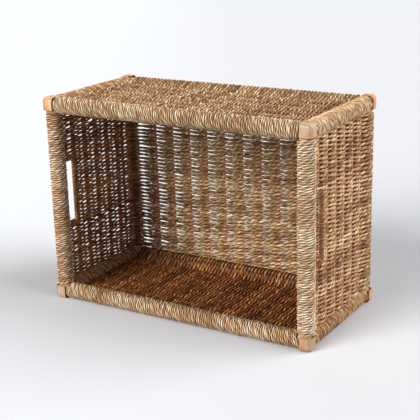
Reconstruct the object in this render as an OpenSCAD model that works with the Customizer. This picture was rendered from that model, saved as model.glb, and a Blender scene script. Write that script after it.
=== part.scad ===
// Storage basket: a frame of twelve rattan poles whipped with seagrass cord, with five woven panels.
// It lies on one long side: +X is its length, +Y is depth from the mouth to the base, +Z is up.
// The origin is on the surface it rests on, in the middle of its footprint.

/* [Frame] */
// Distance between the centre lines of the left and right poles
frame_w = 405; // [380:1:430]
// Distance between the centre lines of the bottom and top poles
frame_h = 285; // [265:1:305]
// Distance between the centre lines of the front and back poles
frame_d = 188; // [180:1:200]
// Radius of a rattan pole
pole_r = 9; // [8:0.5:9.5]

/* [Cord wrapping] */
// Thickness of the cord wrapped round a pole
cord_t = 3.5; // [3:0.25:4]
// How far a wrapping is pressed flat where the basket rests
rest_flat = 0.3; // [0.2:0.05:0.4]
// Gap where one piece is cut round another
fit_gap = 0.1; // [0.05:0.05:0.2]

/* [Woven panels] */
// Thickness of a woven panel
weave_t = 10; // [9:0.5:11]
// How far a panel's middle lies outside the plane of the pole centres
weave_out = 3; // [2:0.5:3.5]
// Number of stakes in the back panel
back_stakes_n = 11; // [7:1:13]
// Number of stakes in each of the other four panels
side_stakes_n = 5; // [4:1:6]

/* [Stakes] */
// Radius of a stake
stake_r = 2; // [1.5:0.25:2.25]
// Distance from a pole's centre line to the tip of a stake let into it
stake_tip = 3; // [3:0.5:5]

/* [Hand holds] */
// Clear length of a hand hold
slot_len = 93; // [80:1:110]
// Height of a hand hold's middle above the bottom poles
slot_mid = 148; // [130:1:160]
// Radius of the whipping along a hand hold's back edge
rim_r = 3.75; // [3.5:0.25:4.5]
// Radius of the whipping across a hand hold's ends
rim_end_r = 3; // [2.5:0.25:3.25]

/* [Corners] */
// Distance from a corner's centre to the outside of its cane straps
strap_out = 12; // [11.5:0.25:12.25]
// Thickness of a cane strap
strap_t = 1; // [0.8:0.1:1.5]
// Radius of a corner's rounded edges
corner_round = 6; // [5:0.5:7]
// How far a corner binding reaches along a long pole and a depth pole
corner_in = 5.5; // [5:0.5:7]
// How far a corner binding reaches along an upright pole
corner_down = 7.5; // [6:0.5:9]

/* [Nails] */
// Length of a frame nail
nail_len = 40; // [36:1:44]
// Radius of a nail's shank
nail_r = 1.25; // [1:0.25:1.5]
// Radius of a nail's head
head_r = 2.2; // [2:0.1:2.5]
// Sideways distance of a nail from its pole's centre line
nail_off = 2.5; // [2.25:0.25:3]

/* [Hidden] */
$fn = 48;
wrap_r = pole_r + cord_t;
x_left = -frame_w / 2;
x_right = frame_w / 2;
// The back and the bottom are pressed flat, so the frame sits that much nearer to them
y_front = -(frame_d + rest_flat) / 2 + rest_flat;
y_back = y_front + frame_d;
z_low = wrap_r - rest_flat;
z_high = z_low + frame_h;
back_pitch = (frame_w - 2 * wrap_r) / (back_stakes_n + 1);
side_pitch = (frame_d - 2 * wrap_r) / (side_stakes_n + 1);
back_xs = [for (i = [1 : back_stakes_n]) x_left + wrap_r + i * back_pitch];
side_ys = [for (i = [1 : side_stakes_n]) y_front + wrap_r + i * side_pitch];
slot_z1 = z_low + slot_mid - slot_len / 2;
slot_z2 = slot_z1 + slot_len;
rim_over = rim_r + rim_end_r;
head_t = 1;
head_sink = 0.4;
reach = 1000;
// Cuts that cross at right angles have different radii, so each direction has its own clearance
long_notch_r = pole_r + fit_gap;
upright_notch_r = pole_r + 1.5 * fit_gap;
depth_notch_r = pole_r + 2 * fit_gap;
long_clear_r = wrap_r + fit_gap;
upright_clear_r = wrap_r + 1.5 * fit_gap;
depth_clear_r = wrap_r + 2 * fit_gap;

pole_colour = "#9c6b3f";
cord_colour = "#b39468";
weave_colour = "#a5824f";
stake_colour = "#7a3320";
cane_colour = "#dcb888";
nail_colour = "#8d8d8d";

// Side of the basket that a coordinate is on, as -1 or 1
function side_x(x) = x < 0 ? -1 : 1;
function side_y(y) = y < 0 ? -1 : 1;
function side_z(z) = z < (z_low + z_high) / 2 ? -1 : 1;

// Round bars along each axis, between two coordinates
module x_bar(r, x1, x2, y, z) {
    translate([x1, y, z]) rotate([0, 90, 0]) cylinder(r = r, h = x2 - x1);
}
module y_bar(r, y1, y2, x, z) {
    translate([x, y1, z]) rotate([-90, 0, 0]) cylinder(r = r, h = y2 - y1);
}
module z_bar(r, z1, z2, x, y) {
    translate([x, y, z1]) cylinder(r = r, h = z2 - z1);
}

// ---------- Nails: one down through the long pole into the upright, one through it into the depth pole ----------
module nail() {
    translate([0, 0, pole_r - nail_len]) cylinder(r = nail_r, h = nail_len);
    translate([0, 0, pole_r - head_sink]) cylinder(r = head_r, h = head_t);
}
module corner_nails(x, y, z) {
    color(nail_colour) translate([x, y, z]) {
        translate([-nail_off * side_x(x), 0, 0]) rotate([side_z(z) > 0 ? 0 : 180, 0, 0]) nail();
        translate([nail_off * side_x(x), 0, 0]) rotate([side_y(y) > 0 ? -90 : 90, 0, 0]) nail();
    }
}

// ---------- Stakes ----------
module back_stake_rods() {
    for (x = back_xs) z_bar(stake_r, z_low + stake_tip, z_high - stake_tip, x, y_back + weave_out);
}
module side_stake_rods(x) {
    for (y = side_ys) z_bar(stake_r, z_low + stake_tip, z_high - stake_tip, x + side_x(x) * weave_out, y);
}
module level_stake_rods(z) {
    for (y = side_ys) x_bar(stake_r, x_left + stake_tip, x_right - stake_tip, y, z + side_z(z) * weave_out);
}
module back_stakes() {
    color(stake_colour) back_stake_rods();
}
module side_stakes(x) {
    color(stake_colour) side_stake_rods(x);
}
module level_stakes(z) {
    color(stake_colour) level_stake_rods(z);
}

// ---------- Poles: long ones run through, uprights butt on them, depth poles butt on both ----------
module long_pole_bar(r, y, z) {
    x_bar(r, x_left - pole_r, x_right + pole_r, y, z);
}
module upright_bar(x, y) {
    difference() {
        z_bar(pole_r, z_low, z_high, x, y);
        for (z = [z_low, z_high]) long_pole_bar(long_notch_r, y, z);
    }
}
module depth_bar(x, z) {
    difference() {
        y_bar(pole_r, y_front, y_back, x, z);
        for (y = [y_front, y_back]) {
            long_pole_bar(long_notch_r, y, z);
            z_bar(upright_notch_r, z_low, z_high, x, y);
        }
    }
}
module long_pole(y, z) {
    color(pole_colour) difference() {
        long_pole_bar(pole_r, y, z);
        for (x = [x_left, x_right]) corner_nails(x, y, z);
        if (y > 0) back_stake_rods();
    }
}
module upright_pole(x, y) {
    color(pole_colour) difference() {
        upright_bar(x, y);
        for (z = [z_low, z_high]) corner_nails(x, y, z);
    }
}
module depth_pole(x, z) {
    color(pole_colour) difference() {
        depth_bar(x, z);
        for (y = [y_front, y_back]) corner_nails(x, y, z);
        side_stake_rods(x);
        level_stake_rods(z);
    }
}

// ---------- Cord wrapping: a sleeve on each pole, pressed flat at the bottom and the back ----------
// Cross section of a sleeve; flat_a and flat_b are the ways, -1, 0 or 1, that its flats face
module sleeve_profile(flat_a, flat_b) {
    difference() {
        circle(r = wrap_r);
        circle(r = pole_r);
        if (flat_a != 0) translate([flat_a * (2 * wrap_r - rest_flat), 0]) square(2 * wrap_r, center = true);
        if (flat_b != 0) translate([0, flat_b * (2 * wrap_r - rest_flat)]) square(2 * wrap_r, center = true);
    }
}
function flat_down(z) = side_z(z) < 0 ? -1 : 0;
function flat_back(y) = side_y(y) > 0 ? 1 : 0;
// Space of a whole sleeve, for cutting others round it
module long_sleeve_space(y, z) {
    x_bar(long_clear_r, x_left + corner_in, x_right - corner_in, y, z);
}
module upright_sleeve_space(x, y) {
    z_bar(upright_clear_r, z_low + corner_down, z_high - corner_down, x, y);
}
module long_wrap(y, z) {
    color(cord_colour) difference() {
        translate([x_left + corner_in, y, z]) rotate([90, 0, 90])
            linear_extrude(frame_w - 2 * corner_in) sleeve_profile(flat_back(y), flat_down(z));
        for (x = [x_left, x_right]) {
            z_bar(upright_notch_r, z_low, z_high, x, y);
            y_bar(depth_notch_r, y_front, y_back, x, z);
        }
        if (y > 0) back_stake_rods();
    }
}
module upright_wrap(x, y) {
    color(cord_colour) difference() {
        translate([x, y, z_low + corner_down])
            linear_extrude(frame_h - 2 * corner_down) sleeve_profile(0, flat_back(y));
        for (z = [z_low, z_high]) {
            long_pole_bar(long_notch_r, y, z);
            long_sleeve_space(y, z);
            y_bar(depth_notch_r, y_front, y_back, x, z);
        }
    }
}
module depth_wrap(x, z) {
    color(cord_colour) difference() {
        translate([x, y_back - corner_in, z]) rotate([90, 0, 0])
            linear_extrude(frame_d - 2 * corner_in) sleeve_profile(0, flat_down(z));
        for (y = [y_front, y_back]) {
            long_pole_bar(long_notch_r, y, z);
            long_sleeve_space(y, z);
            z_bar(upright_notch_r, z_low, z_high, x, y);
            upright_sleeve_space(x, y);
        }
        side_stake_rods(x);
        level_stake_rods(z);
    }
}

// ---------- Woven panels: slabs cut round the wrappings, with a hole for each stake ----------
// Each frame space runs past the slab's edges
module long_edge(y, z) {
    x_bar(long_clear_r, x_left - wrap_r, x_right + wrap_r, y, z);
}
module upright_edge(x, y) {
    z_bar(upright_clear_r, z_low - wrap_r, z_high + wrap_r, x, y);
}
module depth_edge(x, z) {
    y_bar(depth_clear_r, y_front - wrap_r, y_back + wrap_r, x, z);
}
module back_weave() {
    color(weave_colour) difference() {
        translate([x_left, y_back + weave_out - weave_t / 2, z_low]) cube([frame_w, weave_t, frame_h]);
        for (z = [z_low, z_high]) long_edge(y_back, z);
        for (x = [x_left, x_right]) upright_edge(x, y_back);
        back_stake_rods();
    }
}
module level_weave(z) {
    color(weave_colour) difference() {
        translate([x_left, y_front, z + side_z(z) * weave_out - weave_t / 2]) cube([frame_w, frame_d, weave_t]);
        for (y = [y_front, y_back]) long_edge(y, z);
        for (x = [x_left, x_right]) depth_edge(x, z);
        level_stake_rods(z);
    }
}
module side_weave(x) {
    color(weave_colour) difference() {
        translate([x + side_x(x) * weave_out - weave_t / 2, y_front, z_low]) cube([weave_t, frame_d, frame_h]);
        for (y = [y_front, y_back]) upright_edge(x, y);
        for (z = [z_low, z_high]) depth_edge(x, z);
        side_stake_rods(x);
        slot_space(x);
    }
}

// ---------- Hand holds: an opening between the front upright and the first stake, whipped on three sides ----------
module slot_space(x) {
    edge = rim_over + fit_gap;
    translate([x - reach / 2, y_front, slot_z1 - edge])
        cube([reach, side_ys[0] + rim_r + fit_gap - y_front, slot_len + 2 * edge]);
}
module handle_rim(x) {
    rim_x = x + side_x(x) * weave_out;
    color(cord_colour) difference() {
        union() {
            z_bar(rim_r, slot_z1 - rim_over, slot_z2 + rim_over, rim_x, side_ys[0]);
            for (z = [slot_z1 - rim_end_r, slot_z2 + rim_end_r]) {
                y_bar(rim_end_r, y_front, side_ys[0], rim_x, z);
            }
        }
        upright_edge(x, y_front);
        z_bar(stake_r, z_low, z_high, rim_x, side_ys[0]);
    }
}

// ---------- Corner bindings: cane packing round the joint, under two peeled straps ----------
// Profile of a corner seen along one axis: square inside, rounded at the outside corner
module corner_profile(out, in_a, in_b, r) {
    translate([-in_a, -in_b]) square([in_a + out - r, in_b + out]);
    translate([-in_a, -in_b]) square([in_a + out, in_b + out - r]);
    translate([out - r, out - r]) circle(r = r);
}
// Corner block with +X, +Y and +Z as its outside directions
module corner_block(out, r) {
    intersection() {
        translate([0, 0, -corner_down]) linear_extrude(corner_down + out) corner_profile(out, corner_in, corner_in, r);
        rotate([90, 0, 0]) translate([0, 0, -out]) linear_extrude(corner_in + out)
            corner_profile(out, corner_in, corner_down, r);
        rotate([90, 0, 90]) translate([0, 0, -corner_in]) linear_extrude(corner_in + out)
            corner_profile(out, corner_in, corner_down, r);
    }
}
module corner_pieces() {
    packing_out = strap_out - strap_t;
    strap_seam = strap_out - corner_round;
    corner_block(packing_out, corner_round - strap_t);
    // One strap covers the mouth or base side, the other goes over the end and the level side
    for (k = [0, 1]) {
        difference() {
            corner_block(strap_out, corner_round);
            corner_block(packing_out + fit_gap, corner_round - strap_t);
            translate([-reach / 2, k * (strap_seam - reach) + (1 - k) * (strap_seam - fit_gap), -reach / 2])
                cube([reach, reach, reach]);
        }
    }
}
module corner_binding(x, y, z) {
    color(cane_colour) difference() {
        translate([x, y, z]) mirror([x < 0 ? 1 : 0, 0, 0]) mirror([0, side_y(y) < 0 ? 1 : 0, 0])
            mirror([0, 0, side_z(z) < 0 ? 1 : 0]) corner_pieces();
        long_pole_bar(long_notch_r, y, z);
        z_bar(upright_notch_r, z_low, z_high, x, y);
        y_bar(depth_notch_r, y_front, y_back, x, z);
        corner_nails(x, y, z);
    }
}

long_pole(y_front, z_high);  // front_top_pole
long_pole(y_front, z_low);  // front_bottom_pole
long_pole(y_back, z_high);  // back_top_pole
long_pole(y_back, z_low);  // back_bottom_pole
upright_pole(x_left, y_front);  // front_left_pole
upright_pole(x_right, y_front);  // front_right_pole
upright_pole(x_left, y_back);  // back_left_pole
upright_pole(x_right, y_back);  // back_right_pole
depth_pole(x_left, z_high);  // top_left_pole
depth_pole(x_right, z_high);  // top_right_pole
depth_pole(x_left, z_low);  // bottom_left_pole
depth_pole(x_right, z_low);  // bottom_right_pole
long_wrap(y_front, z_high);  // front_top_wrap
long_wrap(y_front, z_low);  // front_bottom_wrap
long_wrap(y_back, z_high);  // back_top_wrap
long_wrap(y_back, z_low);  // back_bottom_wrap
upright_wrap(x_left, y_front);  // front_left_wrap
upright_wrap(x_right, y_front);  // front_right_wrap
upright_wrap(x_left, y_back);  // back_left_wrap
upright_wrap(x_right, y_back);  // back_right_wrap
depth_wrap(x_left, z_high);  // top_left_wrap
mirror([1, 0, 0]) depth_wrap(x_left, z_high);  // top_right_wrap
depth_wrap(x_left, z_low);  // bottom_left_wrap
mirror([1, 0, 0]) depth_wrap(x_left, z_low);  // bottom_right_wrap
level_weave(z_high);  // top_weave
level_weave(z_low);  // bottom_weave
side_weave(x_left);  // left_weave
side_weave(x_right);  // right_weave
back_weave();
level_stakes(z_high);  // top_stakes
level_stakes(z_low);  // bottom_stakes
side_stakes(x_left);  // left_stakes
side_stakes(x_right);  // right_stakes
back_stakes();
handle_rim(x_left);  // left_handle_rim
handle_rim(x_right);  // right_handle_rim
corner_binding(x_left, y_front, z_high);  // front_top_left_binding
corner_binding(x_right, y_front, z_high);  // front_top_right_binding
corner_binding(x_left, y_front, z_low);  // front_bottom_left_binding
corner_binding(x_right, y_front, z_low);  // front_bottom_right_binding
corner_binding(x_left, y_back, z_high);  // back_top_left_binding
corner_binding(x_right, y_back, z_high);  // back_top_right_binding
corner_binding(x_left, y_back, z_low);  // back_bottom_left_binding
corner_binding(x_right, y_back, z_low);  // back_bottom_right_binding
corner_nails(x_left, y_front, z_high);  // front_top_left_nails
corner_nails(x_right, y_front, z_high);  // front_top_right_nails
corner_nails(x_left, y_front, z_low);  // front_bottom_left_nails
corner_nails(x_right, y_front, z_low);  // front_bottom_right_nails
corner_nails(x_left, y_back, z_high);  // back_top_left_nails
corner_nails(x_right, y_back, z_high);  // back_top_right_nails
corner_nails(x_left, y_back, z_low);  // back_bottom_left_nails
corner_nails(x_right, y_back, z_low);  // back_bottom_right_nails
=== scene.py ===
"""Seagrass storage basket: twined panels of twisted cord on a frame of cord-wrapped rattan poles.

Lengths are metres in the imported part's frame: +X along the basket, +Y from the mouth to the base, +Z up.
"""
import math

import bpy
import numpy as np
from mathutils import Matrix, Vector


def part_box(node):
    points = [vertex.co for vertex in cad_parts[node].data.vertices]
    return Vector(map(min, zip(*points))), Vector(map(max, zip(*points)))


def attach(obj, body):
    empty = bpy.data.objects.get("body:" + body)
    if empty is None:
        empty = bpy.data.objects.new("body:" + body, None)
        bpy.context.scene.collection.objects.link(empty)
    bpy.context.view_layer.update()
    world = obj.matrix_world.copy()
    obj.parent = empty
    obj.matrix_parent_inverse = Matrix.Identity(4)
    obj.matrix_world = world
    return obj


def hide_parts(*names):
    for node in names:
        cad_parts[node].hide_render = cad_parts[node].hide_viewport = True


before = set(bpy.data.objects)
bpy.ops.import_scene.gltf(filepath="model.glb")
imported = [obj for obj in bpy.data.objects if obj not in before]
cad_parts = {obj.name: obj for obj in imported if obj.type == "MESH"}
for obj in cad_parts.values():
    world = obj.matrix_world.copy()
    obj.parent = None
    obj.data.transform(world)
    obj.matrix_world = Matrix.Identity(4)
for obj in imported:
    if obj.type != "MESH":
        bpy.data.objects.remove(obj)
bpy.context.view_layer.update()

MM = 0.001


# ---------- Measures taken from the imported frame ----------
def box(node):
    low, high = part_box(node)
    return np.array(low), np.array(high)


def middle(node):
    low, high = box(node)
    return (low + high) / 2


X_SIDES = {"left": middle("front_left_pole")[0], "right": middle("front_right_pole")[0]}
Y_SIDES = {"front": middle("front_top_pole")[1], "back": middle("back_top_pole")[1]}
Z_SIDES = {"bottom": middle("front_bottom_pole")[2], "top": middle("front_top_pole")[2]}
XL, XR = X_SIDES["left"], X_SIDES["right"]
YF, YB = Y_SIDES["front"], Y_SIDES["back"]
ZB, ZT = Z_SIDES["bottom"], Z_SIDES["top"]
AXES = {"x": 0, "y": 1, "z": 2}
SIDES = {"x": X_SIDES, "y": Y_SIDES, "z": Z_SIDES}
MIDDLE = np.array([np.mean(list(SIDES[axis].values())) for axis in "xyz"])
CORNER = np.array([XL, YF, ZB])
POLE_R = np.ptp(box("front_top_pole"), axis=0)[2] / 2
WRAP_R = np.ptp(box("front_top_wrap"), axis=0)[2] / 2
BACK_STAKES = 11
SIDE_STAKES = 5

# ---------- Camera ----------
CAMERA_AZIMUTH = math.radians(31.64)
CAMERA_ELEVATION = math.radians(17.29)
CAMERA_ROLL = math.radians(-1.53)
CAMERA_FROM_CORNER = np.array([947.0, -1114.0, 569.0]) * MM
CAMERA_LENS = 86.87
SENSOR = 36.0
CAMERA_REACH = 50


def make_camera():
    """Stands the camera at the viewing angle, as a distance from the basket's front left bottom corner."""
    a, e = CAMERA_AZIMUTH, CAMERA_ELEVATION
    back = Vector((math.sin(a) * math.cos(e), -math.cos(a) * math.cos(e), math.sin(e)))
    right = (-back).cross(Vector((0, 0, 1))).normalized()
    up = right.cross(-back)
    rolled_right = math.cos(CAMERA_ROLL) * right + math.sin(CAMERA_ROLL) * up
    rolled_up = math.cos(CAMERA_ROLL) * up - math.sin(CAMERA_ROLL) * right
    data = bpy.data.cameras.new("camera")
    data.lens = CAMERA_LENS
    data.sensor_width = SENSOR
    data.clip_end = CAMERA_REACH
    camera = bpy.data.objects.new("camera", data)
    axes = Matrix((rolled_right, rolled_up, back)).transposed()
    camera.matrix_world = Matrix.Translation(Vector(CORNER + CAMERA_FROM_CORNER)) @ axes.to_4x4()
    bpy.context.scene.collection.objects.link(camera)
    bpy.context.scene.camera = camera


make_camera()


# ---------- Lines, random wander and meshes ----------
def unit(v):
    return v / np.linalg.norm(v, axis=-1, keepdims=True)


def run_along(points):
    """The distance of each point from the first one, along the line."""
    return np.concatenate([[0], np.cumsum(np.linalg.norm(np.diff(points, axis=0), axis=1))])


def path_between(corners, count):
    """Evenly spaced points, about count of them, along straight legs."""
    corners = np.array(corners, float)
    s = run_along(corners)
    fine = np.linspace(0, s[-1], count)
    return np.stack([np.interp(fine, s, corners[:, i]) for i in range(corners.shape[1])], -1)


def wander(rng, s, reach, step):
    """Smooth random values from -reach to reach along the distances s, changing about every step."""
    knots = rng.uniform(-1, 1, int(s[-1] / step) + 3)
    x = s / step + rng.uniform(0, 1)
    i = x.astype(int)
    f = x - i
    f = f * f * (3 - 2 * f)
    return reach * (knots[i] * (1 - f) + knots[i + 1] * f)


def quad_object(name, verts, quads, labels, material, uv=None):
    """A smooth object of quads. labels are named values for each vertex, and uv is its bake layout."""
    mesh = bpy.data.meshes.new(name)
    mesh.vertices.add(len(verts))
    mesh.vertices.foreach_set("co", verts.ravel())
    mesh.loops.add(quads.size)
    mesh.loops.foreach_set("vertex_index", quads.ravel().astype(np.int32))
    mesh.polygons.add(len(quads))
    mesh.polygons.foreach_set("loop_start", np.arange(0, quads.size, 4, dtype=np.int32))
    mesh.polygons.foreach_set("use_smooth", np.ones(len(quads), dtype=bool))
    if uv is not None:
        mesh.uv_layers.new(name="OFBake").data.foreach_set("uv", uv.reshape(-1).astype(np.float32))
    for label, values in labels:
        attribute = mesh.attributes.new(label, "FLOAT_VECTOR", "POINT")
        attribute.data.foreach_set("vector", values.ravel().astype(np.float32))
    mesh.update(calc_edges=True)
    mesh.validate()
    mesh.materials.append(material)
    piece = bpy.data.objects.new(name, mesh)
    bpy.context.scene.collection.objects.link(piece)
    return piece


def own(piece, slot_name, *nodes):
    """Every piece rides on the one body and stands for its CAD nodes, which it hides. slot_name is not used.
    """
    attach(piece, "root")
    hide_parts(*nodes)


# ---------- Twisted cord ----------
CORD_R = (WRAP_R - POLE_R) / 2
TWIST_PITCH = 20.7 * MM
# Points round a cord, those of each of its two plies, and how deep each lies in the grooves between the
# plies: in shape, and as painted shade in colour
RING = 8
PLIES = ([7, 0, 1, 2], [3, 4, 5, 6])
DIP = np.array([0.0, 0.12, 1.0, 0.12, 0.0, 0.12, 1.0, 0.12])
GROOVE_PAINTED_SHADE = np.array([0.0, 0.15, 1.0, 0.15, 0.0, 0.15, 1.0, 0.15])
# The faces that close an end, and how small its last ring is
CAP = np.array([[0, 1, 2, 3], [0, 3, 4, 7], [4, 5, 6, 7]])
CAP_TAPER = 0.7
# How far a cord's twist, in radians, and its size, as a share, wander, and over which distance
TWIST_WANDER = (1.5, 25 * MM)
SIZE_WANDER = (0.08, 7 * MM)
# The same for the shade and the greenness: of a whole bundle, of a cord and of one of its plies
CORD_SHADE_SPREAD = 0.05
BUNDLE_SHADE = (0.1, 800 * MM)
CORD_SHADE = (0.12, 60 * MM)
PLY_SHADE_SPREAD = 0.1
PLY_SHADE = (0.16, 60 * MM)
PLY_FLECKS = (0.16, 9 * MM)
BUNDLE_GREEN = (0.35, 900 * MM)
PLY_GREEN_SPREAD = (-0.2, 0.5)
PLY_GREEN = (0.3, 90 * MM)
# Points whose direction is this far sideways start to face the next cord, and from there on get painted shade
# in their colour
SIDEWAYS_FROM = 0.6
# The bake layout's strips: the share that a cord fills, the radius that sets the width, and the end gap
STRIP_FILL = 0.88
STRIP_R = 1.7 * MM
STRIP_GAP = 4 * MM


class CordMesh:
    """Collects twisted cords and turns them into one mesh with a strip-by-strip bake layout."""

    def __init__(self, seed):
        self.rng = np.random.default_rng(seed)
        self.verts, self.quads, self.fibre, self.ply, self.along, self.side = [], [], [], [], [], []
        self.count = 0
        self.length = 0.0

    def add(self, points, refs, radius, flat=1.0, crevice=0.65, dip=0.36, tone=0.0):
        """Adds a cord along points; refs are the directions that its flat side faces.

        radius is its half width, and flat its thickness as a share of its width; both may change on the way.
        Its sides, which face the cords next to it, get painted shade, as much as crevice says. dip is how
        deep the groove between its plies is, as a share of the radius, and tone lightens or darkens it point
        by point; the panels use it for painted shade at their ends.
        """
        s = run_along(points)
        twist = 2 * math.pi * s / TWIST_PITCH + self.rng.uniform(0, 2 * math.pi)
        twist = twist + wander(self.rng, s, *TWIST_WANDER)
        angle = twist[:, None] + np.arange(RING) * 2 * math.pi / RING
        self.add_surface(points, refs, radius, flat, dip, s, angle)
        self.add_layout(s)
        self.add_labels(s, angle, crevice, tone)
        self.count += len(points) * RING
        self.length += s[-1] + STRIP_GAP

    def add_surface(self, points, refs, radius, flat, dip, s, angle):
        """A tube of rings, turned to angle, with a cap at each end."""
        tangent = unit(np.gradient(points, axis=0))
        across = unit(np.cross(tangent, refs))
        up = np.cross(across, tangent)
        size = radius * (1 + wander(self.rng, s, *SIZE_WANDER))
        size[[0, -1]] *= CAP_TAPER
        reach = size[:, None] * (1 - dip * DIP)
        ring = across[:, None] * (reach * np.cos(angle))[..., None]
        ring = ring + up[:, None] * (reach * np.sin(angle) * np.reshape(flat, (-1, 1)))[..., None]
        self.verts.append((points[:, None] + ring).reshape(-1, 3))
        base = self.count + np.arange(len(points) - 1)[:, None] * RING
        k = np.arange(RING)
        after = (k + 1) % RING
        tube = np.stack([base + k, base + RING + k, base + RING + after, base + after], -1).reshape(-1, 4)
        last = self.count + (len(points) - 1) * RING
        self.quads += [tube, self.count + CAP, last + CAP[:, ::-1]]

    def add_layout(self, s):
        """Where each face lies in the bake layout: along all the cords' lengths, and round this one."""
        start = self.length + s
        along = np.stack([start[:-1], start[1:], start[1:], start[:-1]], -1)
        along = np.repeat(along[:, None], RING, axis=1).reshape(-1, 4)
        k = np.arange(RING)
        side = np.stack([k, k, k + 1, k + 1], -1) / RING
        side = np.tile(side[None], (len(s) - 1, 1, 1)).reshape(-1, 4)
        self.along += [along, np.full(CAP.shape, start[0]), np.full(CAP.shape, start[-1])]
        self.side += [side, CAP / RING, CAP[:, ::-1] / RING]

    def add_labels(self, s, angle, crevice, tone):
        """What the material reads: the place along the fibres, and each ply's shade, its painted shade in the
        grooves and on the sides, and its green.
        """
        rng = self.rng
        fibre = np.empty((*angle.shape, 3))
        fibre_angle = np.arange(RING) * 2 * math.pi / RING
        fibre[..., 0] = (self.length + s)[:, None]
        fibre[..., 1] = CORD_R * np.cos(fibre_angle)
        fibre[..., 2] = CORD_R * np.sin(fibre_angle)
        self.fibre.append(fibre.reshape(-1, 3))

        ply = np.empty((*angle.shape, 3))
        cord_shade = tone + CORD_SHADE_SPREAD * rng.normal() + wander(rng, s, *BUNDLE_SHADE)
        cord_shade = cord_shade + wander(rng, s, *CORD_SHADE)
        cord_green = wander(rng, s, *BUNDLE_GREEN)
        for members in PLIES:
            shade = cord_shade + PLY_SHADE_SPREAD * rng.normal() + wander(rng, s, *PLY_SHADE)
            shade = shade + wander(rng, s, *PLY_FLECKS)
            green = cord_green + rng.uniform(*PLY_GREEN_SPREAD) + wander(rng, s, *PLY_GREEN)
            ply[:, members, 0] = shade[:, None]
            ply[:, members, 2] = green[:, None]
        # Painted shade: the grooves between the plies and the sides that face the next cord get a darker
        # colour
        sideways = np.clip((np.abs(np.cos(angle)) - SIDEWAYS_FROM) / (1 - SIDEWAYS_FROM), 0, 1)
        ply[..., 1] = 1 - (1 - GROOVE_PAINTED_SHADE) * (1 - crevice * sideways)
        self.ply.append(ply.reshape(-1, 3))

    def build(self, name, material):
        """Makes the object, with no point below the floor."""
        verts = np.concatenate(self.verts)
        verts[:, 2] = np.maximum(verts[:, 2], 0)
        quads = np.concatenate(self.quads)
        labels = (("fibre", np.concatenate(self.fibre)), ("ply", np.concatenate(self.ply)))
        return quad_object(name, verts, quads, labels, material, self.bake_layout())

    def bake_layout(self):
        """The cords' outer strips, cut into rows that lie side by side in a square."""
        along = np.concatenate(self.along)
        side = np.concatenate(self.side)
        width = math.sqrt(self.length * 2 * math.pi * STRIP_R / STRIP_FILL)
        row = np.floor(along.min(axis=1) / width)
        along = along - row[:, None] * width
        up = row[:, None] + (1 - STRIP_FILL) / 2 + side * STRIP_FILL
        return np.stack([along / along.max(), up / (row.max() + 1)], -1)


# ---------- Materials ----------
class Nodes:
    """Short forms for building a material's node tree."""

    def __init__(self, name):
        self.material = bpy.data.materials.new(name)
        self.material.use_nodes = True
        self.tree = self.material.node_tree
        self.shader = self.tree.nodes["Principled BSDF"]

    def add(self, kind, inputs=(), **settings):
        node = self.tree.nodes.new(kind)
        for key, value in settings.items():
            setattr(node, key, value)
        for key, value in dict(inputs).items():
            self.put(node.inputs[key], value)
        return node

    def put(self, socket, value):
        if isinstance(value, bpy.types.NodeSocket):
            self.tree.links.new(value, socket)
        else:
            socket.default_value = value

    def attribute(self, name):
        return self.add("ShaderNodeAttribute", attribute_name=name).outputs["Vector"]

    def place(self):
        return self.add("ShaderNodeTexCoord").outputs["Object"]

    def parts(self, vector):
        return self.add("ShaderNodeSeparateXYZ", {0: vector}).outputs

    def math(self, operation, a, b, clamp=False):
        return self.add("ShaderNodeMath", {0: a, 1: b}, operation=operation, use_clamp=clamp).outputs[0]

    def centred(self, value, reach):
        """A value from 0 to 1, moved to lie round 0 and reach apart."""
        return self.math("MULTIPLY", self.math("SUBTRACT", value, 0.5), reach)

    def between(self, value, low, high):
        return self.add("ShaderNodeMapRange", {"Value": value, "To Min": low, "To Max": high}).outputs[0]

    def noise(self, vector, scale, detail=3.0, rough=0.55):
        inputs = {"Vector": vector, "Scale": scale, "Detail": detail, "Roughness": rough}
        return self.add("ShaderNodeTexNoise", inputs).outputs["Fac"]

    def scaled(self, vector, scale):
        return self.add("ShaderNodeMapping", {"Vector": vector, "Scale": scale}).outputs[0]

    def ramp(self, value, stops):
        node = self.add("ShaderNodeValToRGB", {"Fac": value})
        elements = node.color_ramp.elements
        while len(elements) < len(stops):
            elements.new(0.5)
        for element, (place, colour) in zip(elements, stops):
            element.position = place
            element.color = (*colour, 1)
        return node.outputs[0]

    def mix(self, factor, a, b, blend="MIX"):
        """A colour mix. The node lists its sockets for colours after those for numbers and vectors."""
        node = self.add("ShaderNodeMix", data_type="RGBA", blend_type=blend)
        for index, value in ((0, factor), (6, a), (7, b)):
            self.put(node.inputs[index], value)
        return node.outputs[2]

    def finish(self, colour, roughness, height=None, strength=0.35, distance=0.2 * MM):
        """Sets the shader's colour and roughness, and a bump where there is a height."""
        self.put(self.shader.inputs["Base Color"], colour)
        self.put(self.shader.inputs["Roughness"], roughness)
        if height is not None:
            bump = self.add("ShaderNodeBump", {"Height": height, "Strength": strength, "Distance": distance})
            self.put(self.shader.inputs["Normal"], bump.outputs[0])
        return self.material


CORD_STOPS = (
    (0.0, (0.13, 0.055, 0.022)),
    (0.25, (0.33, 0.17, 0.075)),
    (0.5, (0.55, 0.345, 0.185)),
    (0.75, (0.74, 0.56, 0.37)),
    (1.0, (0.90, 0.78, 0.62)),
)
CORD_GREEN = (0.66, 0.86, 0.56, 1)
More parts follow.
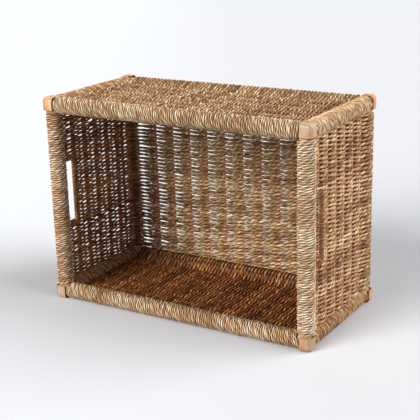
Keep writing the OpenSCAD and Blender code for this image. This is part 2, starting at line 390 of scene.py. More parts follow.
# How far the grooves and the sides facing the next cord take on the deep colour, as painted shade
PAINTED_SHADE_STRENGTH = 0.9
CANE_STOPS = ((0.3, (0.30, 0.185, 0.10)), (0.5, (0.41, 0.285, 0.175)), (0.7, (0.50, 0.375, 0.255)))
CANE_STAIN = ((0.5, (1, 1, 1)), (0.75, (0.95, 0.62, 0.4)))
CANE_EDGE = (0.13, 0.06, 0.03, 1)
CANE_EDGE_DARK = 0.65
STEEL_STOPS = ((0.3, (0.35, 0.34, 0.33)), (0.7, (0.62, 0.61, 0.6)))
# How many spots of noise fit in a metre: along and across the lines of each material, and in its patches
CORD_FIBRES = (60, 1700, 1700)
CORD_FLECKS = (160, 500, 500)
CANE_LINES = (60, 1500, 0)
CANE_PATCHES = 90.0
CANE_STAINS = 55.0
GRAIN_ALONG, GRAIN_ACROSS = 30.0, 900.0
WOOD_PATCHES = 45.0
SCRATCHES = (3000, 3000, 300)
# How far a cord's fibres and flecks change its shade
FIBRE_SHADE = 0.75
FLECK_SHADE = 0.5


def cord_material(name, tone, tint, green, deep=(0.075, 0.028, 0.011)):
    """Twisted seagrass: each ply has its own shade and fine fibres, and the grooves and the sides facing the
    next cord have the deep colour as painted shade.
    """
    n = Nodes(name)
    shade, groove, greenness = n.parts(n.attribute("ply"))
    fibre = n.attribute("fibre")
    fine = n.noise(n.scaled(fibre, CORD_FIBRES), 1.0, 4.0, 0.6)
    flecks = n.noise(n.scaled(fibre, CORD_FLECKS), 1.0, 2.0)
    shade = n.math("ADD", shade, 0.5 + tone)
    shade = n.math("ADD", shade, n.centred(fine, FIBRE_SHADE))
    shade = n.math("ADD", shade, n.centred(flecks, FLECK_SHADE), clamp=True)
    colour = n.ramp(shade, CORD_STOPS)
    colour = n.mix(n.math("MULTIPLY", greenness, green, clamp=True), colour, CORD_GREEN, "MULTIPLY")
    colour = n.mix(1.0, colour, (*tint, 1), "MULTIPLY")
    # Painted shade: the deep colour in the grooves and on the sides that face the next cord
    colour = n.mix(n.math("MULTIPLY", groove, PAINTED_SHADE_STRENGTH), colour, (*deep, 1))
    return n.finish(colour, n.between(fine, 0.62, 0.9), fine, 0.6, 0.25 * MM)


def wood_material(name, light, dark, grain_axis):
    """Rattan: long grain lines and soft patches."""
    n = Nodes(name)
    stretch = [GRAIN_ACROSS] * 3
    stretch[grain_axis] = GRAIN_ALONG
    grain = n.noise(n.scaled(n.place(), stretch), 1.0, 4.0)
    patches = n.noise(n.place(), WOOD_PATCHES)
    shade = n.math("ADD", n.math("MULTIPLY", grain, 0.65), n.math("MULTIPLY", patches, 0.45), clamp=True)
    return n.finish(n.ramp(shade, ((0.3, dark), (0.72, light))), n.between(grain, 0.5, 0.75), grain)


def cane_material(name, tint):
    """Peeled cane: straw with fine lengthwise lines, darker and redder at its edges, with a waxy gloss."""
    n = Nodes(name)
    label = n.attribute("cane")
    edge = n.parts(label)[2]
    lines = n.noise(n.scaled(label, CANE_LINES), 1.0)
    patches = n.noise(n.place(), CANE_PATCHES, 2.0)
    shade = n.math("ADD", n.math("MULTIPLY", lines, 0.6), n.math("MULTIPLY", patches, 0.5), clamp=True)
    stain = n.ramp(n.noise(n.place(), CANE_STAINS, 1.0), CANE_STAIN)
    colour = n.mix(1.0, n.ramp(shade, CANE_STOPS), stain, "MULTIPLY")
    colour = n.mix(1.0, colour, (*tint, 1), "MULTIPLY")
    colour = n.mix(n.math("MULTIPLY", edge, CANE_EDGE_DARK), colour, CANE_EDGE)
    return n.finish(colour, n.between(lines, 0.38, 0.6), lines)


def steel_material():
    """Bright nail wire with fine scratches."""
    n = Nodes("nail_steel")
    scratches = n.noise(n.scaled(n.place(), SCRATCHES), 1.0)
    n.shader.inputs["Metallic"].default_value = 1.0
    return n.finish(n.ramp(scratches, STEEL_STOPS), n.between(scratches, 0.25, 0.5))


# The painted shade colours of the grooves and sides: of cords in full light, on the pale uprights, and on the
# left and bottom panels, darker there for the shade inside the basket
LIT_DEEP = (0.07, 0.032, 0.016)
PALE_DEEP = (0.09, 0.045, 0.025)
LEFT_DEEP = (0.05, 0.018, 0.008)
BOTTOM_DEEP = (0.05, 0.015, 0.005)

# ---------- Loose ends ----------
LOOSE_SEED = 91
# An end's least and greatest length in millimetres, its rise for its length, and its radius at root and tip
LOOSE_LENGTH = (3, 6)
LOOSE_RISE = (0, 0.3)
LOOSE_ROOT = 0.8 * MM
LOOSE_TIP = 0.4 * MM
LOOSE_POINTS = 6
LOOSE_DEPTH = 0.6

loose_cords = CordMesh(LOOSE_SEED)


def add_loose_ends(points, refs, count):
    """Short frayed ends that stand out from a cord at random places."""
    rng = loose_cords.rng
    for i in rng.integers(0, len(points) - 1, count):
        along = unit(points[i + 1] - points[i]) * rng.choice((-1, 1))
        s = np.linspace(0, rng.uniform(*LOOSE_LENGTH), LOOSE_POINTS)[:, None] * MM
        path = points[i] + refs[i] * (LOOSE_DEPTH * CORD_R + rng.uniform(*LOOSE_RISE) * s) + along * s
        radius = np.linspace(LOOSE_ROOT, LOOSE_TIP, LOOSE_POINTS)
        loose_cords.add(path, np.repeat(refs[i][None], LOOSE_POINTS, 0), radius)


# ---------- Cord wrapping on the poles ----------
WRAP_SEED = 100
WRAP_PITCH = 3.4 * MM
# The spacing of the cord's points, the gap at each end of a wrapping, and how tightly the cord is drawn
CORD_STEP = 1.9 * MM
END_GAP = 0.3 * MM
WRAP_TIGHT = 0.97
WRAP_LOOSE_ENDS = 8
# How far past the back poles' centres the depth poles' wrappings and the back bindings' side straps reach
REAR_REACH = -3 * MM
# The turns next to a corner fan out over this length, by this power of the distance
FAN_LENGTH = 42 * MM
FAN_POWER = 1.5
# How far the turns wander along the pole and outwards, and the distance over which they do
LONG_WANDER = (0.3 * MM, 150 * MM)
TURN_WANDER = (0.28 * MM, 16 * MM)
LIFT_WANDER = (0.22 * MM, 12 * MM)


def wrap_path(axis, centre, start, end, rng):
    """A cord wound round a pole from start to end.

    Where the pole meets another on the inside, its turns fan out to cover the corner.
    """
    a = AXES[axis]
    b, c = [i for i in range(3) if i != a]
    turns = (end - start) / WRAP_PITCH
    per_turn = int(2 * math.pi * (WRAP_R - CORD_R) / CORD_STEP)
    turn = np.linspace(0, turns, int(turns * per_turn))
    distance = turn * 2 * math.pi * (WRAP_R - CORD_R)
    angle = 2 * math.pi * turn
    place = start + (end - start) * turn / turns
    place = place + wander(rng, distance, *LONG_WANDER) + wander(rng, distance, *TURN_WANDER)
    lean = np.zeros(len(turn))
    for other, part in ((b, np.cos(angle)), (c, np.sin(angle))):
        inward = -np.sign(centre[other] - MIDDLE[other])
        lean = lean + np.maximum(0, inward * part)
    for crossing in SIDES[axis].values():
        near, sign = (start, 1) if abs(start - crossing) < abs(end - crossing) else (end, -1)
        gap = sign * (near - crossing)
        if gap > 0:
            fade = np.clip((place - near) * sign / FAN_LENGTH, 0, 1)
            place = place + sign * (WRAP_R - gap) * lean * (1 - fade) ** FAN_POWER
    radius = WRAP_R - CORD_R + wander(rng, distance, *LIFT_WANDER)
    points = np.empty((len(turn), 3))
    points[:, a] = place
    points[:, b] = centre[b] + radius * np.cos(angle)
    points[:, c] = centre[c] + radius * np.sin(angle)
    refs = np.zeros((len(turn), 3))
    refs[:, b] = np.cos(angle)
    refs[:, c] = np.sin(angle)
    return points, refs


def make_wrap(node, axis, seed, material):
    """The wrapping of one pole. Depth poles are wrapped on over the rear corner, up to its cane cap."""
    low, high = box(node)
    start = low[AXES[axis]] + CORD_R + END_GAP
    end = high[AXES[axis]] - CORD_R - END_GAP
    if axis == "y":
        end = YB + REAR_REACH - CORD_R
    cords = CordMesh(seed)
    points, refs = wrap_path(axis, middle(node.replace("_wrap", "_pole")), start, end, cords.rng)
    cords.add(points, refs, CORD_R * WRAP_TIGHT)
    add_loose_ends(points, refs, WRAP_LOOSE_ENDS)
    own(cords.build(node + "_cord", material), "seagrass_cord", node)


cord_high = cord_material("cord_high", 0.05, (0.98, 0.99, 1.0), 0.2, LIT_DEEP)
# A lighter copy of the cord for the bottom front pole: painted light, making up for the light that it lacks
cord_low_lit = cord_material("cord_low_lit", 0.36, (0.98, 0.96, 0.94), 0.2, LIT_DEEP)
cord_pale = cord_material("cord_pale", 0.0, (0.95, 0.96, 1.0), 0.15, PALE_DEEP)
cord_bright = cord_material("cord_bright", 0.28, (0.98, 0.96, 0.95), 0.15, PALE_DEEP)
cord_depth = cord_material("cord_depth", 0.03, (1.0, 0.94, 0.87), 0.2)
cord_side = cord_material("cord_side", 0.05, (1.0, 0.89, 0.76), 0.1)
WRAPS = (
    ("front_top_wrap", "x", cord_high),
    ("front_bottom_wrap", "x", cord_low_lit),
    ("front_left_wrap", "z", cord_bright),
    ("front_right_wrap", "z", cord_pale),
    ("top_left_wrap", "y", cord_depth),
    ("top_right_wrap", "y", cord_depth),
    ("bottom_left_wrap", "y", cord_side),
    ("bottom_right_wrap", "y", cord_side),
)
for i, (node, axis, material) in enumerate(WRAPS):
    make_wrap(node, axis, WRAP_SEED + i, material)

# ---------- Twined panels ----------
ROW_PITCH = 5.9 * MM
WEFT_STEP = 2.0 * MM
# How near to the poles' centres the rows without a turn reach, and how far outside them a panel's middle is
TUCK = 9.5 * MM
PLANE_OUT = abs(middle("right_stakes")[0]) - abs(XR)
# At a stake, which a weft is pressed against: how far its middle is from the panel's, and its half thickness
DEPTH = 2.4 * MM
ON_STAKE = 1.35 * MM
# Where two wefts cross: their half width and half thickness, and how far each is from the row's middle
CROSSING = (1.65 * MM, 1.6 * MM)
RISE = 1.3 * MM
# A weft gets narrower within this distance of a stake's middle
PINCH_REACH = 2.2 * MM
# Round a pole a weft is pressed to this share of its thickness, and on its way there it is wider by a factor
TURN_PRESS = 0.95
TURN_POINTS = 22
WAY_SPREAD = 1.45
# Where a row starts at the hand hold, its two wefts part over this length
EASE_IN = 7 * MM
SMOOTHING_ROUNDS = 3
# A thin row along a pole: its distance from where the first row would be, its half width and share of rise
EDGE_OUT = 1.0 * MM
EDGE_WIDE = 1.2 * MM
EDGE_RISE = 0.3
# How far a weft wanders up, out and in width, and over which distance, and how far whole rows stray
HEIGHT_WANDER = (0.35 * MM, 11 * MM)
LONG_HEIGHT_WANDER = (0.3 * MM, 45 * MM)
DEPTH_WANDER = (0.2 * MM, 13 * MM)
WIDTH_WANDER = (0.1, 30 * MM)
ROW_STRAY = 0.3 * MM
# How far neighbouring rows sway together, and the waves' radians for each metre along and across the rows
SWAY = 0.6 * MM
SWAY_ALONG = 31
SWAY_SKEW = 17
SWAY_ACROSS = 43
# The depth of a weft's grooves as a share of its size, and the share of rows with a loose end
WEFT_DIP = 0.18
LOOSE_ROWS = 0.3


class Panel:
    """Rows of two wefts that change places between stakes. t runs along the rows, v across them, n outwards.

    origin: the corner of the pole centre lines, moved out to the panel's middle plane.
    stakes: the stakes' places along t.
    slot: the low and high v between which rows start at the first stake.
    loops: the ends at which a row's two wefts are one cord that turns round the pole.
    offset: moves the rows by a share of their pitch, with a thin row along each pole to fill up.
    widths: scales the wefts at even places along t.
    wide, pinch, blunt: the wefts' half width over a stake, what it loses at the stake's middle, and how far
        they keep it on the way to the next crossing.
    sense: 1 or -1, the way that the two wefts twist.
    crevice, end_tone: the painted shade on the cords' sides, and the painted shade that darkens the turns at
    the end, in the back corner.
    rise, cross: what RISE and CROSSING are for this panel's rows.
    """

    def __init__(self, origin, t_dir, v_dir, t_len, v_len, stakes, seed, slot=(0, 0), loops=("end",),
                 offset=0.0, widths=(1.0,), wide=2.6 * MM, pinch=0.0, blunt=1, sense=1, crevice=0.45,
                 end_tone=0.0, rise=RISE, cross=CROSSING):
        self.origin = np.array(origin)
        self.t_dir = np.array(t_dir, float)
        self.v_dir = np.array(v_dir, float)
        self.n_dir = np.cross(self.t_dir, self.v_dir)
        self.t_len, self.stakes, self.slot, self.loops = t_len, stakes, slot, loops
        self.widths, self.wide, self.pinch, self.blunt, self.sense = widths, wide, pinch, blunt, sense
        self.crevice, self.end_tone, self.rise, self.cross = crevice, end_tone, rise, cross
        self.bay = stakes[1] - stakes[0]
        edge = math.sqrt(WRAP_R ** 2 - PLANE_OUT ** 2) + CROSSING[0]
        bays = int(round((v_len - 2 * edge) / ROW_PITCH))
        pitch = (v_len - 2 * edge) / bays
        self.rows = [edge + (i + offset) * pitch for i in range(bays if offset else bays + 1)]
        self.edge_rows = []
        if offset:
            self.edge_rows = [edge - EDGE_OUT, v_len - edge + EDGE_OUT]
            self.rows = [self.edge_rows[0], *self.rows, self.edge_rows[1]]
        self.rng = np.random.default_rng(seed)
        self.sway_phase = self.rng.uniform(0, 6, 2)

    def strand(self, t, strand):
        """Depth, height, half width and half thickness of one of a row's two wefts at the places t."""
        theta = math.pi * ((t - self.stakes[0]) / self.bay + strand)
        c, s = np.cos(theta), np.sin(theta)
        # A cosine with broad flat peaks, because a weft lies flat on each stake
        depth = DEPTH * (1.5 * c - 0.5 * c ** 3)
        height = -self.sense * s * self.rise
        off_stake = s * self.bay / math.pi
        wide = self.cross[0] + (self.wide - self.cross[0]) * (1 - np.abs(s) ** self.blunt)
        wide = wide - self.pinch * np.exp(-(off_stake / PINCH_REACH) ** 2)
        thick = self.cross[1] + (ON_STAKE - self.cross[1]) * c ** 2
        return depth, height, wide, thick

    def turn(self, at, way, height_in):
        """The weft round a pole: from the crossing next to it, over its outside, and back underneath.

        Its columns are t, n, v, half width and half thickness, like a row's.
        """
        radius = POLE_R + CROSSING[1] * TURN_PRESS
        cross = at - way * (WRAP_R + self.bay / 2)
        to_cross = np.array([cross - at, PLANE_OUT]) * (way, 1)
        reach = np.linalg.norm(to_cross)
        middle_angle = math.atan2(to_cross[1], to_cross[0])
        spread = math.acos(radius / reach)
        arc = np.linspace(middle_angle - spread, middle_angle + spread - 2 * math.pi, TURN_POINTS)
        tangent = math.sqrt(reach ** 2 - radius ** 2)
        straight = np.linspace(0, 1, int(tangent / WEFT_STEP))[1:-1, None]
        circle = radius * np.stack([np.cos(arc), np.sin(arc)], -1)
        way_in = to_cross + (circle[0] - to_cross) * straight
        way_out = circle[-1] + (to_cross - circle[-1]) * straight
        line = np.concatenate([way_in, circle, way_out])
        height = height_in * np.cos(math.pi * np.linspace(0, 1, len(line)))
        t = at + way * line[:, 0]
        wide = CROSSING[0] * np.where(np.abs(t - at) > WRAP_R, WAY_SPREAD, 1)
        thick = np.full(len(t), CROSSING[1] * TURN_PRESS)
        return np.array([t, line[:, 1] - PLANE_OUT, height, wide, thick])

    def edge_row(self):
        """A thin row along a pole, its ends tucked in: (t, n, v, half width, half thickness)."""
        t = np.linspace(TUCK, self.t_len - TUCK, int(self.t_len / WEFT_STEP))
        out, back = [np.array([t, *self.strand(t, strand)]) for strand in (0, 1)]
        line = np.concatenate([out, back[:, ::-1]], axis=1)
        line[2] *= EDGE_RISE
        line[3] = EDGE_WIDE
        return line

    def row(self, v0):
        """The cord of the row at v0: (t, n, v, half width, half thickness)."""
        short = self.slot[0] < v0 < self.slot[1]
        low = self.stakes[0] if short else TUCK
        high = self.t_len - TUCK
        if "start" in self.loops:
            low = self.stakes[0] - self.bay / 2
        if "end" in self.loops:
            high = self.stakes[-1] + self.bay / 2
        t = np.linspace(low, high, int((high - low) / WEFT_STEP))
        over = len(self.stakes) % 2
        lines = []
        for strand in (over, 1 - over):
            depth, height, wide, thick = self.strand(t, strand)
            if short:
                ease = np.clip((t - low) / EASE_IN, 0, 1)
                depth, height = depth * ease, height * ease
            lines.append(np.array([t, depth, height, wide, thick]))
        out, back = lines[0], lines[1][:, ::-1]
        pieces = [out]
        if "end" in self.loops:
            pieces.append(self.turn(self.t_len, 1, out[2, -1]))
        pieces.append(back)
        if "start" in self.loops:
            pieces.append(self.turn(0.0, -1, back[2, -1]))
        line = np.concatenate(pieces, axis=1)
        for _ in range(SMOOTHING_ROUNDS):
            line[:, 1:-1] = (line[:, :-2] + 2 * line[:, 1:-1] + line[:, 2:]) / 4
        line[3] *= np.interp(line[0], np.linspace(0, self.t_len, len(self.widths)), self.widths)
        return line

    def add_row(self, cords, v0):
        """Lays the row at v0 into cords, with the unevenness of hand work."""
        t, n, height, wide, thick = self.edge_row() if v0 in self.edge_rows else self.row(v0)
        run = np.arange(len(t)) * WEFT_STEP
        height = height + wander(self.rng, run, *HEIGHT_WANDER) + wander(self.rng, run, *LONG_HEIGHT_WANDER)
        n = n + wander(self.rng, run, *DEPTH_WANDER)
        wide = wide * (1 + wander(self.rng, run, *WIDTH_WANDER))
        sway = SWAY * np.sin(t * SWAY_ALONG + self.sway_phase[0] + v0 * SWAY_SKEW)
        sway = sway * np.sin(v0 * SWAY_ACROSS + self.sway_phase[1])
        v = v0 + height + sway + ROW_STRAY * self.rng.normal()
        points = self.origin + t[:, None] * self.t_dir + v[:, None] * self.v_dir + n[:, None] * self.n_dir
        dt, dn = np.gradient(t), np.gradient(n)
        refs = unit(-dn[:, None] * self.t_dir + dt[:, None] * self.n_dir)
        # Painted shade: the turns round the pole in the back corner are darkened
        tone = self.end_tone * (t > self.t_len - WRAP_R)
        cords.add(points, refs, wide, thick / wide, self.crevice, WEFT_DIP, tone)
        add_loose_ends(points, refs, int(self.rng.random() < LOOSE_ROWS))

    def weave(self, nodes, name, material, parts=1):
        """Makes the panel's object, or parts of it, each with its share of the rows."""
        count = len(self.rows)
        for part in range(parts):
            cords = CordMesh(self.rng.integers(1 << 30))
            for v0 in self.rows[count * part // parts:count * (part + 1) // parts]:
                self.add_row(cords, v0)
            label = name if parts == 1 else f"{name}_{part + 1}"
            own(cords.build(label, material), "seagrass_weave", *nodes)


def stake_places(count, length):
    """Distances of evenly spaced stakes from a pole's centre line; length is the far pole's."""
    return [WRAP_R + (i + 1) * (length - 2 * WRAP_R) / (count + 1) for i in range(count)]


SIDE_PLACES = stake_places(SIDE_STAKES, YB - YF)
BACK_PLACES = stake_places(BACK_STAKES, XR - XL)
RIM_LOW, RIM_HIGH = box("left_handle_rim")
# How far the ends of a hand hold's rim lap over whole rows
SLOT_LAP = 2.5 * MM
SLOT_BOTTOM = RIM_LOW[2] + SLOT_LAP
SLOT_TOP = RIM_HIGH[2] - SLOT_LAP
INWARDS = (0, 1, 0)

cord_top = cord_material("cord_top", -0.07, (0.96, 0.97, 0.92), 0.2)
# The left and bottom panels' cords are darker, redder copies of the cord: painted shade for the inside of the
# basket
cord_left_shaded = cord_material("cord_left_shaded", -0.07, (0.88, 0.60, 0.36), 0.05, LEFT_DEEP)
cord_bottom_shaded = cord_material("cord_bottom_shaded", -0.17, (1.0, 0.66, 0.35), 0.0, BOTTOM_DEEP)
cord_back = cord_material("cord_back", -0.06, (0.94, 0.95, 0.89), 0.5)

right = Panel((XR + PLANE_OUT, YF, ZB), INWARDS, (0, 0, 1), YB - YF, ZT - ZB, SIDE_PLACES, seed=1,
              slot=(SLOT_BOTTOM - ZB, SLOT_TOP - ZB))
left = Panel((XL - PLANE_OUT, YF, ZT), INWARDS, (0, 0, -1), YB - YF, ZT - ZB, SIDE_PLACES, seed=2,
             slot=(ZT - SLOT_TOP, ZT - SLOT_BOTTOM), wide=2.75 * MM, end_tone=-0.35,
             rise=1.8 * MM, cross=(1.6 * MM, 1.4 * MM))
top = Panel((XR, YF, ZT + PLANE_OUT), INWARDS, (-1, 0, 0), YB - YF, XR - XL, SIDE_PLACES, seed=3, sense=-1)
bottom = Panel((XL, YF, ZB - PLANE_OUT), INWARDS, (1, 0, 0), YB - YF, XR - XL, SIDE_PLACES, seed=4,
               end_tone=-0.12)
back = Panel((XR, YB + PLANE_OUT, ZB), (-1, 0, 0), (0, 0, 1), XR - XL, ZT - ZB, BACK_PLACES, seed=5,
             loops=("start", "end"), offset=0.5, widths=(1.0, 1.0, 0.98, 0.9, 0.78), wide=2.9 * MM,
             pinch=1.5 * MM, blunt=5, sense=-1, crevice=0.25, end_tone=-0.35)
right.weave(("right_weave", "back_right_wrap"), "right_weave_cord", cord_side)
left.weave(("left_weave", "back_left_wrap"), "left_weave_cord", cord_left_shaded)
top.weave(("top_weave", "back_top_wrap"), "top_weave_cord", cord_top, parts=2)
bottom.weave(("bottom_weave", "back_bottom_wrap"), "bottom_weave_cord", cord_bottom_shaded, parts=2)
back.weave(("back_weave",), "back_weave_cord", cord_back, parts=2)

own(loose_cords.build("loose_ends", cord_side), "seagrass_cord")

# ---------- Whipping round the hand holds ----------
RIM_TURN = 7 * MM
RIM_TURN_POINTS = 9
# The rim cord's half width and half thickness, its pitch along the rim and its points' spacing
RIM_CORD = (1.35 * MM, 0.95 * MM)
RIM_PITCH = 2.5 * MM
RIM_STEP = 1.2 * MM
RIM_WANDER = (0.6, 30 * MM)
RIM_R = (RIM_HIGH[0] - RIM_LOW[0]) / 2


def rim_route(inner_y, outer_y, low_z, high_z):
    """A U in the YZ plane with rounded corners, open towards inner_y, and the cord's angle at each point."""
    arc = np.linspace(0, math.pi / 2, RIM_TURN_POINTS)
    upper_y = outer_y - RIM_TURN + RIM_TURN * np.sin(arc)
    upper_z = high_z - RIM_TURN + RIM_TURN * np.cos(arc)
    upper = np.stack([upper_y, upper_z], -1)
    lower = upper[::-1] * (1, -1) + (0, low_z + high_z)
    corners = np.concatenate([[(inner_y, high_z)], upper, lower, [(inner_y, low_z)]])
    length = run_along(corners)[-1]
    count = int(length / RIM_PITCH * 2 * math.pi * (RIM_R - RIM_CORD[1]) / RIM_STEP)
    return path_between(corners, count), 2 * math.pi * np.linspace(0, length, count) / RIM_PITCH


def make_rim(side, seed, material):
    """The cord wound round the first stake and the two ends of a hand hold."""
    node = side + "_handle_rim"
    low, high = box(node)
    route, angle = rim_route(low[1], YF + SIDE_PLACES[0], low[2] + RIM_R, high[2] - RIM_R)
    along = unit(np.gradient(route, axis=0))
    rng = np.random.default_rng(seed)
    angle = angle + wander(rng, np.arange(len(angle)) * RIM_STEP, *RIM_WANDER)
    out = np.zeros((len(route), 3))
    out[:, 0] = np.cos(angle)
    out[:, 1] = -along[:, 1] * np.sin(angle)
    out[:, 2] = along[:, 0] * np.sin(angle)
    x = middle(side + "_stakes")[0]
    points = np.column_stack([np.full(len(route), x), route]) + (RIM_R - RIM_CORD[1]) * out
    cords = CordMesh(seed)
    cords.add(points, out, RIM_CORD[0], RIM_CORD[1] / RIM_CORD[0])
    own(cords.build(node + "_cord", material), "seagrass_cord", node)


# A darker copy of the cord for the right rim: painted shade
cord_rim_shaded = cord_material("cord_rim_shaded", -0.1, (0.96, 0.82, 0.66), 0.1)
make_rim("left", 61, cord_side)
make_rim("right", 62, cord_rim_shaded)

# ---------- Cane corner bindings ----------
# How far a corner's block reaches from the poles' centres: outwards, along the level poles and downwards
BLOCK_LOW, BLOCK_HIGH = box("front_top_right_binding")
CANE_OUT = BLOCK_HIGH[0] - XR
CANE_IN = XR - BLOCK_LOW[0]
CANE_DOWN = ZT - BLOCK_LOW[2]
CANE_ROUND = 6 * MM
CANE_T = 1.0 * MM
# How far the side strap's edge is rolled in over the other strap, and how much that varies along it
CANE_ROLL = 1.5 * MM
CANE_ARCH = 0.3
# The width of a strap's rounded edge
CANE_SOFT = 0.8 * MM
# How far a strap stands above the block, in its middle and at its edges
FACE_LIFT = (-0.5 * MM, -0.9 * MM)
SIDE_LIFT = (0.4 * MM, -0.4 * MM)
# Points across and up the face strap, along the side strap, over its rolled edge, and across its rest
FACE_POINTS = (30, 32)
LEG_POINTS = 56
ROLL_POINTS = 8
FLAT_POINTS = 22


def cane_sheet(grid, lift, edge_lift):
    """A strap of cane over the rounded corner block, from a grid on the same block with sharp edges."""
    core = np.minimum(grid, CANE_OUT - CANE_ROUND)
    normal = unit(grid - core)
    surface = core + CANE_ROUND * normal
    rows, columns = grid.shape[:2]
    long = np.zeros((rows, columns))
    long[1:] = np.cumsum(np.linalg.norm(np.diff(surface, axis=0), axis=2), axis=0)
    wide = np.zeros((rows, columns))
    wide[:, 1:] = np.cumsum(np.linalg.norm(np.diff(surface, axis=1), axis=2), axis=1)
    edge = np.minimum(np.minimum(long, long[-1] - long), np.minimum(wide, wide[:, -1:] - wide))
    soft = np.clip(1 - edge / CANE_SOFT, 0, 1)
    height = (lift - (lift - edge_lift) * soft ** 2)[..., None]
    outer = core + (CANE_ROUND + height) * normal
    inner = core + (CANE_ROUND + height - CANE_T) * normal
    label = np.stack([long, wide, soft], -1)
    count = rows * columns
    index = np.arange(count).reshape(rows, columns)
    face = np.stack([index[:-1, :-1], index[1:, :-1], index[1:, 1:], index[:-1, 1:]], -1).reshape(-1, 4)
    rim = np.concatenate([index[0, :], index[1:, -1], index[-1, -2::-1], index[-2:0:-1, 0]])
    after = np.roll(rim, -1)
    walls = np.stack([rim, after, after + count, rim + count], -1)
    quads = np.concatenate([face, face[:, ::-1] + count, walls])
    verts = np.concatenate([outer.reshape(-1, 3), inner.reshape(-1, 3)])
    return verts, quads, np.tile(label.reshape(-1, 3), (2, 1))


def face_strap():
    """The strap on the mouth or base side, its upper and outer edges under the other strap."""
    x = np.linspace(-CANE_IN, CANE_OUT, FACE_POINTS[0])
    z = np.linspace(-CANE_DOWN, CANE_OUT, FACE_POINTS[1])
    grid = np.full((len(z), len(x), 3), CANE_OUT)
    grid[..., 0] = x
    grid[..., 2] = z[:, None]
    return cane_sheet(grid, *FACE_LIFT)


def side_strap(depth):
    """The strap that comes up the end, over the corner and along the level side, over the other's edge."""
    leg = path_between([(CANE_OUT, -CANE_DOWN), (CANE_OUT, CANE_OUT), (-CANE_IN, CANE_OUT)], LEG_POINTS)
    roll = np.concatenate([np.linspace(1, 0, ROLL_POINTS + 1)[:-1], np.zeros(FLAT_POINTS)])
    arch = 1 + CANE_ARCH * np.cos(np.linspace(0, 3 * math.pi, len(leg)))
    bound = CANE_OUT - CANE_ROLL * arch[:, None] * roll[None]
    grid = np.empty((*bound.shape, 3))
    grid[..., 0] = np.minimum(leg[:, :1], bound)
    grid[..., 1] = np.concatenate([np.full(ROLL_POINTS, CANE_OUT), np.linspace(CANE_OUT, depth, FLAT_POINTS)])
    grid[..., 2] = np.minimum(leg[:, 1:], bound)
    return cane_sheet(grid[:, ::-1], *SIDE_LIFT)


def make_binding(back_front, top_bottom, left_right, material):
    """The two straps of one corner, mirrored to where it is."""
    node = f"{back_front}_{top_bottom}_{left_right}_binding"
    centre = np.array([X_SIDES[left_right], Y_SIDES[back_front], Z_SIDES[top_bottom]])
    signs = np.sign(centre - MIDDLE)
    depth = -CANE_IN if back_front == "front" else REAR_REACH
    verts, quads, labels = [], [], []
    count = 0
    for sheet_verts, sheet_quads, sheet_labels in (face_strap(), side_strap(depth)):
        verts.append(sheet_verts * signs + centre)
        quads.append((sheet_quads if np.prod(signs) > 0 else sheet_quads[:, ::-1]) + count)
        labels.append(sheet_labels)
        count += len(sheet_verts)
    verts = np.concatenate(verts)
    verts[:, 2] = np.maximum(verts[:, 2], 0)
    cane = (("cane", np.concatenate(labels)),)
    own(quad_object(node + "_cane", verts, np.concatenate(quads), cane, material), "peeled_cane", node)


cane_pale = cane_material("cane_pale", (1.2, 1.14, 1.1))
cane_straw = cane_material("cane_straw", (0.93, 0.95, 0.99))
cane_brown = cane_material("cane_brown", (0.82, 0.73, 0.66))
cane_orange = cane_material("cane_orange", (1.12, 0.86, 0.6))
CANES = {
    ("front", "top", "left"): cane_pale,
    ("front", "top", "right"): cane_straw,
    ("front", "bottom", "left"): cane_straw,
    ("front", "bottom", "right"): cane_brown,
}
for back_front in Y_SIDES:
    for top_bottom in Z_SIDES:
        for left_right in X_SIDES:
            cane = CANES.get((back_front, top_bottom, left_right), cane_orange)
            make_binding(back_front, top_bottom, left_right, cane)

# ---------- Materials of the CAD nodes that stay ----------
POLE_WOOD = ((0.56, 0.38, 0.21), (0.36, 0.21, 0.1))
STAKE_WOOD = ((0.52, 0.15, 0.09), (0.28, 0.06, 0.035))
SIDE_STAKE_WOOD = ((0.33, 0.11, 0.06), (0.15, 0.04, 0.02))


def add_node_materials():
    """Rattan on the poles and stakes, its grain along each, and steel on the nails."""
    side_stake = wood_material("rattan_side_stake", *SIDE_STAKE_WOOD, AXES["z"])
    poles = [wood_material(f"rattan_pole_{axis}", *POLE_WOOD, i) for axis, i in AXES.items()]
    level, upright = [wood_material(f"rattan_stake_{axis}", *STAKE_WOOD, AXES[axis]) for axis in "xz"]
    steel = steel_material()
    stake_woods = {"top_stakes": level, "bottom_stakes": level, "back_stakes": upright,
                   "left_stakes": side_stake, "right_stakes": side_stake}
    for name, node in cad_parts.items():
        if name.endswith("_pole"):
            material = poles[int(np.argmax(np.ptp(box(name), axis=0)))]
        elif name.endswith("_stakes"):
            material = stake_woods[name]
        elif name.endswith("_nails"):
            material = steel
        else:
            continue
        node.data.materials.clear()
        node.data.materials.append(material)


add_node_materials()

# ---------- Floor and light ----------
FLOOR_HALF = 9.0
# The floor darkens from left to right, as the camera sees it, between these distances from the middle:
# painted shade
SHADE_FROM, SHADE_TO = -0.45, 0.15
FLOOR_STOPS = ((0.0, (0.585, 0.605, 0.635)), (1.0, (0.535, 0.547, 0.575)))
# What the world shines with, and what it looks like behind the floor in low views
WORLD_LIGHT = (1.0, 0.97, 0.93, 1)
WORLD_STRENGTH = 0.3
WORLD_LOOK = (0.93, 0.945, 0.96, 1)


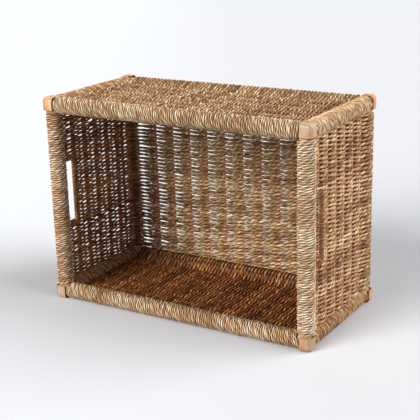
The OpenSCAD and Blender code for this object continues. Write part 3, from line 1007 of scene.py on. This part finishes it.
def make_stage():
    """A plain pale floor that darkens a little to the right, as painted shade."""
    mesh = bpy.data.meshes.new("floor")
    corners = [(-1, -1), (1, -1), (1, 1), (-1, 1)]
    mesh.from_pydata([(x * FLOOR_HALF, y * FLOOR_HALF, 0) for x, y in corners], [], [(0, 1, 2, 3)])
    floor = bpy.data.objects.new("floor", mesh)
    n = Nodes("floor")
    turned = n.add("ShaderNodeMapping", {"Vector": n.place(), "Rotation": (0, 0, -CAMERA_AZIMUTH)}).outputs[0]
    span = {"Value": n.parts(turned)[0], "From Min": SHADE_FROM, "From Max": SHADE_TO}
    shade = n.add("ShaderNodeMapRange", span).outputs[0]
    mesh.materials.append(n.finish(n.ramp(shade, FLOOR_STOPS), 1.0))
    n.shader.inputs["Specular IOR Level"].default_value = 0.0
    bpy.context.scene.collection.objects.link(floor)


def make_world():
    """Weak even light from all round, and a pale background for the camera."""
    world = bpy.data.worlds.new("studio")
    bpy.context.scene.world = world
    world.use_nodes = True
    nodes, links = world.node_tree.nodes, world.node_tree.links
    glow = nodes["Background"]
    glow.inputs["Color"].default_value = WORLD_LIGHT
    glow.inputs["Strength"].default_value = WORLD_STRENGTH
    look = nodes.new("ShaderNodeBackground")
    look.inputs["Color"].default_value = WORLD_LOOK
    seen = nodes.new("ShaderNodeMixShader")
    links.new(nodes.new("ShaderNodeLightPath").outputs["Is Camera Ray"], seen.inputs[0])
    links.new(glow.outputs[0], seen.inputs[1])
    links.new(look.outputs[0], seen.inputs[2])
    links.new(seen.outputs[0], nodes["World Output"].inputs["Surface"])


def sun(name, direction, spread, strength, colour=(1, 1, 1)):
    """Even soft light that comes from direction, spread over an angle in degrees."""
    data = bpy.data.lights.new(name, "SUN")
    data.angle = math.radians(spread)
    data.energy = strength
    data.color = colour
    light = bpy.data.objects.new(name, data)
    light.rotation_mode = "QUATERNION"
    light.rotation_quaternion = Vector(direction).to_track_quat("Z", "Y")
    bpy.context.scene.collection.objects.link(light)


make_stage()
make_world()
sun("key", (-0.4, -1.0, 0.6), spread=38, strength=4.4, colour=(1.0, 0.98, 0.95))
sun("fill", (1.0, 0.45, 0.7), spread=64, strength=4.1)
bpy.context.scene.view_settings.view_transform = "Standard"
bpy.context.scene.view_settings.gamma = 0.9
